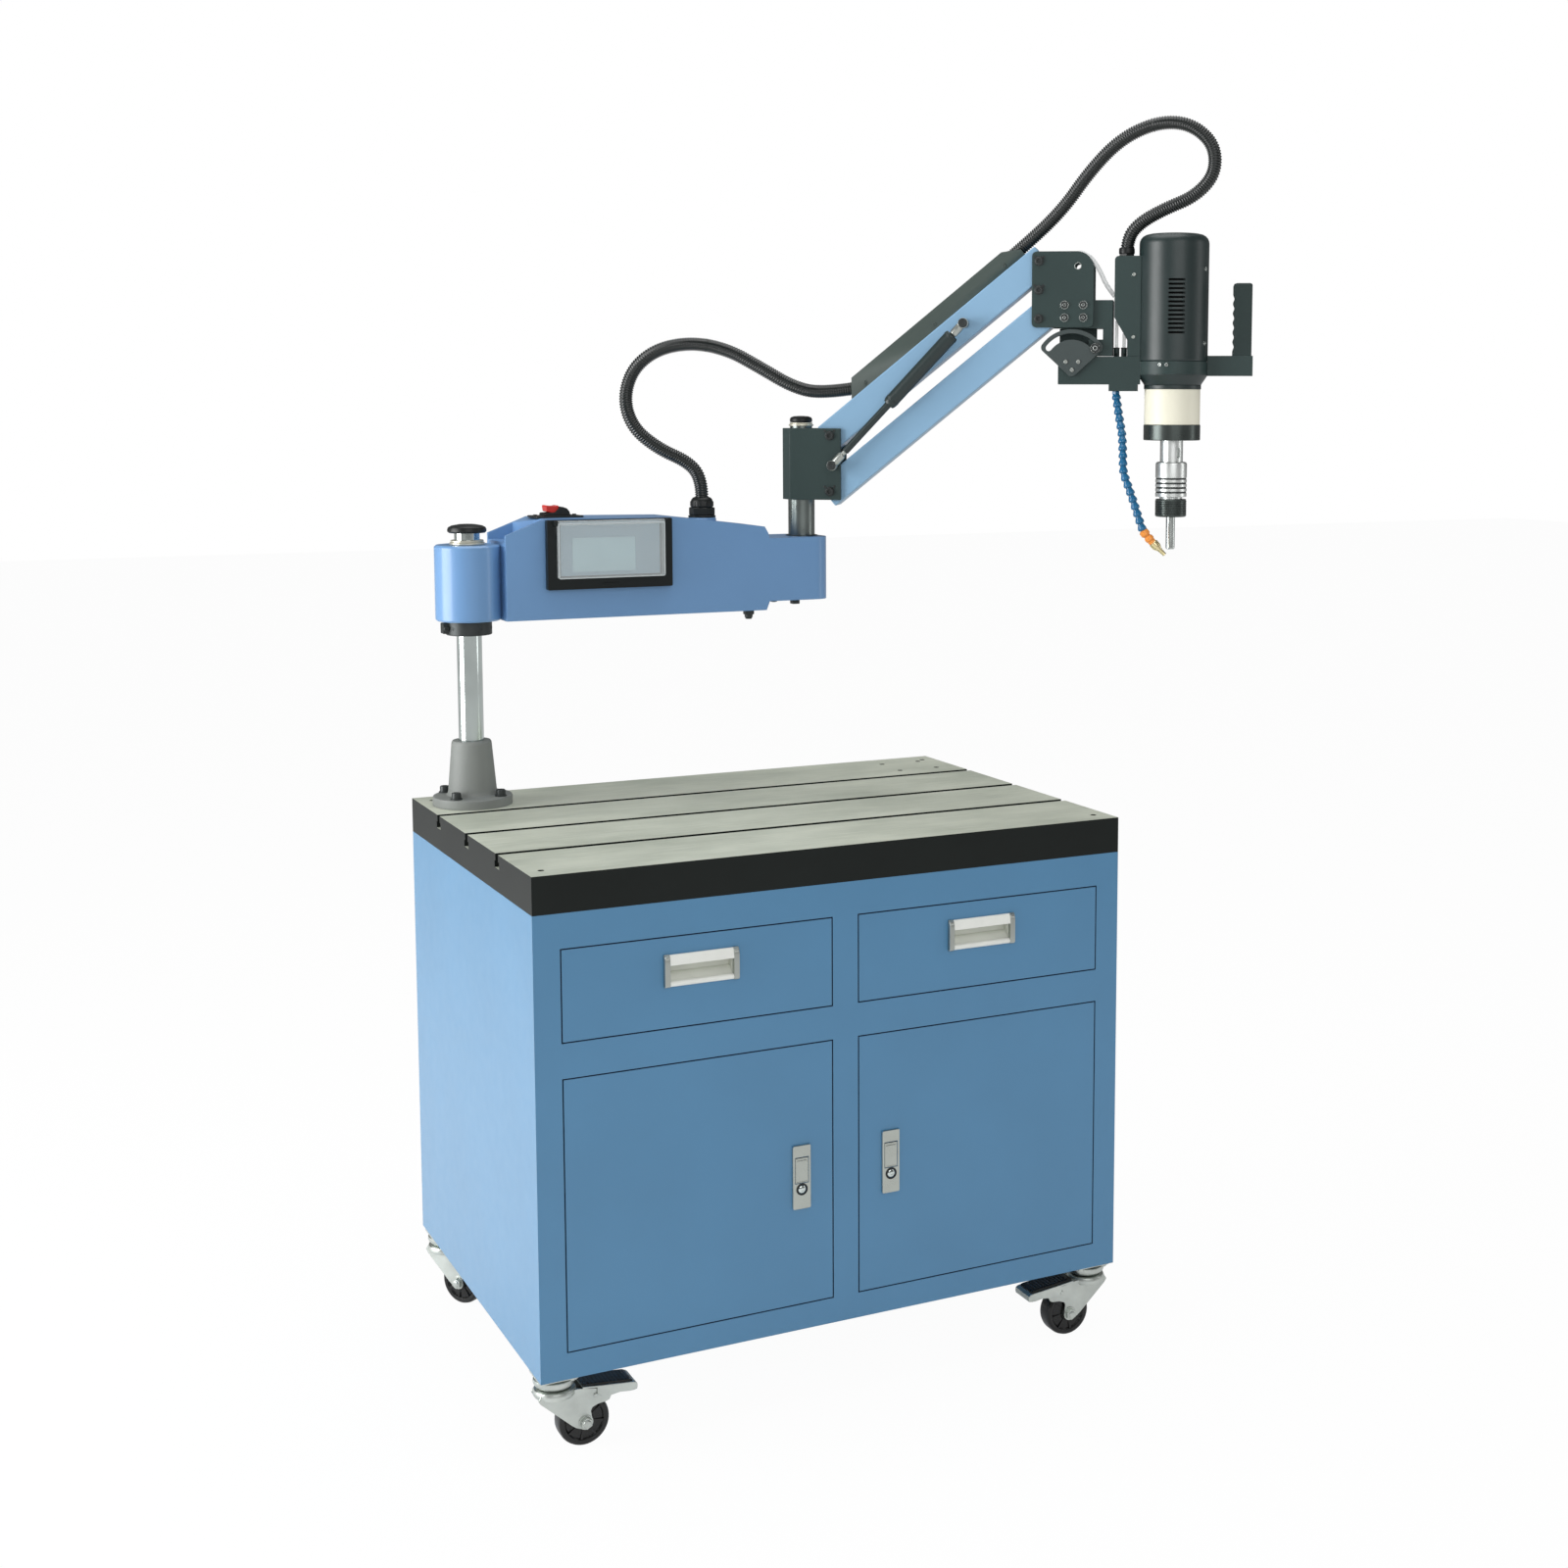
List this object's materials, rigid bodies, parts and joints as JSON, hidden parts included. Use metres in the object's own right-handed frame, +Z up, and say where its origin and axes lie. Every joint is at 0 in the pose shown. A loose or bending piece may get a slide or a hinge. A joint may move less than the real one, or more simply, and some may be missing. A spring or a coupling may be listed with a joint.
{
  "type": "arm tapping machine",
  "caption": "Tapping machine whose motor head hangs on a jointed parallel-link arm above a T-slotted table on a wheeled cabinet with drawers and doors.",
  "frame": {"origin": "on the floor under the middle of the table plate", "axes": "+X along the table's long side away from the column, -Y the side with doors and drawers, +Z up"},
  "size_m": [1.3655, 0.708, 2.0691],
  "materials": {
    "cabinet_paint": "fine texture, satin",
    "ground_cast_iron": "ground top, as cast below",
    "nickel": "bright",
    "zinc": "zinc plated",
    "wheel_plastic": "satin",
    "base_cast": "satin",
    "dark_steel": "black oxide",
    "chrome": "polished",
    "black_plastic": "matte",
    "arm_paint": "satin",
    "bright_steel": "ground",
    "panel_plastic": "gloss",
    "clear_cover": "clear",
    "red_plastic": "gloss",
    "grey_green_paint": "satin",
    "motor_black": "satin",
    "cream_paint": "satin",
    "hose_black": "corrugated, satin",
    "clear_tube": "clear",
    "coolant_blue": "gloss"
  },
  "bodies": {
    "base": {"cabinet_shell": "cabinet_paint", "table_plate": "ground_cast_iron", "caster_mounts": "zinc", "column_base": "base_cast", "base_bolts": "dark_steel", "column_tube": "chrome", "column_collar": "dark_steel", "column_cap": "black_plastic"},
    "drawer_left": {"drawer_left": "cabinet_paint", "drawer_pull_left": "nickel"},
    "drawer_right": {"drawer_right": "cabinet_paint", "drawer_pull_right": "nickel"},
    "door_left": {"door_left": "cabinet_paint"},
    "door_right": {"door_right": "cabinet_paint"},
    "latch_flap_left": {"latch_flap_left": "nickel"},
    "latch_flap_right": {"latch_flap_right": "nickel"},
    "latch_button_left": {"latch_button_left": "nickel"},
    "latch_button_right": {"latch_button_right": "nickel"},
    "caster_fork_front_left": {"caster_fork_front_left": "zinc"},
    "caster_wheel_front_left": {"caster_wheel_front_left": "wheel_plastic"},
    "brake_pedal_left": {"brake_pedal_left": "zinc"},
    "caster_fork_front_right": {"caster_fork_front_right": "zinc"},
    "caster_wheel_front_right": {"caster_wheel_front_right": "wheel_plastic"},
    "brake_pedal_right": {"brake_pedal_right": "zinc"},
    "caster_fork_rear_left": {"caster_fork_rear_left": "zinc"},
    "caster_wheel_rear_left": {"caster_wheel_rear_left": "wheel_plastic"},
    "caster_fork_rear_right": {"caster_fork_rear_right": "zinc"},
    "caster_wheel_rear_right": {"caster_wheel_rear_right": "wheel_plastic"},
    "first_arm": {"control_arm": "arm_paint", "screen_panel": "panel_plastic", "switch_housing": "black_plastic", "cable_gland": "black_plastic", "arm_fasteners": "bright_steel", "swivel_post": "bright_steel", "bracket_cap": "black_plastic", "hose_arm": "hose_black"},
    "switch_rocker": {"switch_rocker": "red_plastic"},
    "screen_cover": {"screen_cover": "clear_cover"},
    "bracket": {"swivel_bracket": "grey_green_paint", "bracket_pins": "dark_steel"},
    "upper_link": {"upper_link": "arm_paint", "hose_cover": "motor_black", "hose_head": "hose_black"},
    "lower_link": {"lower_link": "arm_paint"},
    "spring_rod": {"spring_rod": "black_plastic"},
    "spring_tube": {"spring_tube": "black_plastic"},
    "head": {"head_plates": "grey_green_paint", "head_pins": "dark_steel", "tilt_block": "grey_green_paint", "air_tubes": "clear_tube"},
    "tilting_head": {"tilt_bar": "grey_green_paint", "quadrant": "grey_green_paint", "motor": "motor_black", "junction_box": "grey_green_paint", "gear_nose": "cream_paint", "handle": "grey_green_paint", "coolant_hose": "coolant_blue"},
    "spindle": {"spindle": "bright_steel", "tap": "bright_steel"},
    "chuck_ring": {"chuck_ring": "dark_steel"}
  },
  "joints": [
    {"name": "drawer_left_slide", "type": "slide", "parent": "base", "child": "drawer_left", "axis": [0, -1, 0], "range_m": [0, 0.45]},
    {"name": "drawer_right_slide", "type": "slide", "parent": "base", "child": "drawer_right", "axis": [0, -1, 0], "range_m": [0, 0.45]},
    {"name": "door_left_hinge", "type": "hinge", "parent": "base", "child": "door_left", "pos_m": [-0.453, -0.346, 0.373], "axis": [0, 0, -1], "range_deg": [0, 105]},
    {"name": "door_right_hinge", "type": "hinge", "parent": "base", "child": "door_right", "pos_m": [0.453, -0.346, 0.373], "axis": [0, 0, 1], "range_deg": [0, 105]},
    {"name": "latch_flap_left_hinge", "type": "hinge", "parent": "door_left", "child": "latch_flap_left", "pos_m": [-0.0775, -0.352, 0.4009], "axis": [-1, 0, 0], "range_deg": [0, 60]},
    {"name": "latch_button_left_press", "type": "slide", "parent": "door_left", "child": "latch_button_left", "axis": [0, 1, 0], "range_m": [0, 0.0015], "stiffness_N_per_m": 600, "springref_m": -0.002},
    {"name": "latch_flap_right_hinge", "type": "hinge", "parent": "door_right", "child": "latch_flap_right", "pos_m": [0.0775, -0.352, 0.4009], "axis": [-1, 0, 0], "range_deg": [0, 60]},
    {"name": "latch_button_right_press", "type": "slide", "parent": "door_right", "child": "latch_button_right", "axis": [0, 1, 0], "range_m": [0, 0.0015], "stiffness_N_per_m": 600, "springref_m": -0.002},
    {"name": "caster_swivel_front_left", "type": "hinge", "parent": "base", "child": "caster_fork_front_left", "pos_m": [-0.468, -0.312, 0.093], "axis": [0, 0, 1], "continuous": true},
    {"name": "caster_roll_front_left", "type": "hinge", "parent": "caster_fork_front_left", "child": "caster_wheel_front_left", "pos_m": [-0.426, -0.312, 0.04], "axis": [0, 1, 0], "continuous": true},
    {"name": "brake_left", "type": "hinge", "parent": "caster_fork_front_left", "child": "brake_pedal_left", "pos_m": [-0.396, -0.312, 0.081], "axis": [0, 1, 0], "range_deg": [0, 6], "stiffness_Nm_per_rad": 0.5, "springref_deg": -11.46},
    {"name": "caster_swivel_front_right", "type": "hinge", "parent": "base", "child": "caster_fork_front_right", "pos_m": [0.468, -0.312, 0.093], "axis": [0, 0, 1], "continuous": true},
    {"name": "caster_roll_front_right", "type": "hinge", "parent": "caster_fork_front_right", "child": "caster_wheel_front_right", "pos_m": [0.426, -0.312, 0.04], "axis": [0, -1, 0], "continuous": true},
    {"name": "brake_right", "type": "hinge", "parent": "caster_fork_front_right", "child": "brake_pedal_right", "pos_m": [0.396, -0.312, 0.081], "axis": [0, -1, 0], "range_deg": [0, 6], "stiffness_Nm_per_rad": 0.5, "springref_deg": -11.46},
    {"name": "caster_swivel_rear_left", "type": "hinge", "parent": "base", "child": "caster_fork_rear_left", "pos_m": [-0.468, 0.312, 0.093], "axis": [0, 0, 1], "continuous": true},
    {"name": "caster_roll_rear_left", "type": "hinge", "parent": "caster_fork_rear_left", "child": "caster_wheel_rear_left", "pos_m": [-0.44451, 0.27718, 0.04], "axis": [0.829, 0.5592, 0], "continuous": true},
    {"name": "caster_swivel_rear_right", "type": "hinge", "parent": "base", "child": "caster_fork_rear_right", "pos_m": [0.468, 0.312, 0.093], "axis": [0, 0, 1], "continuous": true},
    {"name": "caster_roll_rear_right", "type": "hinge", "parent": "caster_fork_rear_right", "child": "caster_wheel_rear_right", "pos_m": [0.43163, 0.291, 0.04], "axis": [0.5, -0.866, 0], "continuous": true},
    {"name": "arm_swing", "type": "hinge", "parent": "base", "child": "first_arm", "pos_m": [-0.4194, 0.2544, 1.269], "axis": [0, 0, 1], "range_deg": [-170, 170]},
    {"name": "switch_rocker_tilt", "type": "hinge", "parent": "first_arm", "child": "switch_rocker", "pos_m": [-0.2729, 0.2544, 1.391], "axis": [0, 1, 0], "range_deg": [-1, 8]},
    {"name": "screen_cover_hinge", "type": "hinge", "parent": "first_arm", "child": "screen_cover", "pos_m": [-0.1894, 0.1816, 1.369], "axis": [-1, 0, 0], "range_deg": [0, 110]},
    {"name": "bracket_swivel", "type": "hinge", "parent": "first_arm", "child": "bracket", "pos_m": [0.1966, 0.2544, 1.463], "axis": [0, 0, 1], "range_deg": [-105, 175], "deforming": ["hose_arm"]},
    {"name": "arm_lift", "type": "hinge", "parent": "bracket", "child": "upper_link", "pos_m": [0.24427, 0.22102, 1.5141], "axis": [-0.5736, -0.8192, 0], "range_deg": [-51.3, 5.7], "deforming": ["hose_arm"]},
    {"name": "lower_link_lift", "type": "hinge", "parent": "bracket", "child": "lower_link", "pos_m": [0.24427, 0.22102, 1.4141], "axis": [-0.5736, -0.8192, 0], "range_deg": [-51.3, 5.7]},
    {"name": "head_level", "type": "hinge", "parent": "upper_link", "child": "head", "pos_m": [0.55044, 0.00664, 1.82002], "axis": [-0.5736, -0.8192, 0], "range_deg": [-5.7, 51.3], "deforming": ["hose_head"]},
    {"name": "spring_rod_pivot", "type": "hinge", "parent": "bracket", "child": "spring_rod", "pos_m": [0.22264, 0.17757, 1.4611], "axis": [-0.5736, -0.8192, 0], "range_deg": [-51.3, 5.7]},
    {"name": "spring_tube_pivot", "type": "hinge", "parent": "upper_link", "child": "spring_tube", "pos_m": [0.41515, 0.04277, 1.71235], "axis": [-0.5736, -0.8192, 0], "range_deg": [-5.7, 51.3]},
    {"name": "head_tilt", "type": "hinge", "parent": "head", "child": "tilting_head", "pos_m": [0.59861, -0.02709, 1.63722], "axis": [-0.5736, -0.8192, 0], "range_deg": [-90, 0], "deforming": ["hose_head", "air_tubes"]},
    {"name": "spindle_spin", "type": "hinge", "parent": "tilting_head", "child": "spindle", "pos_m": [0.74295, -0.12815, 1.43722], "axis": [0, 0, 1], "continuous": true},
    {"name": "chuck_release", "type": "slide", "parent": "spindle", "child": "chuck_ring", "axis": [0, 0, 1], "range_m": [0, 0.0035], "stiffness_N_per_m": 2000, "springref_m": -0.003}
  ],
  "couplings": [
    {"joint": "lower_link_lift", "follows": "arm_lift", "ratio": 1},
    {"joint": "head_level", "follows": "arm_lift", "ratio": -1},
    {"joint": "spring_rod_pivot", "follows": "arm_lift", "ratio": 0.948},
    {"joint": "spring_tube_pivot", "follows": "arm_lift", "ratio": -0.052}
  ]
}
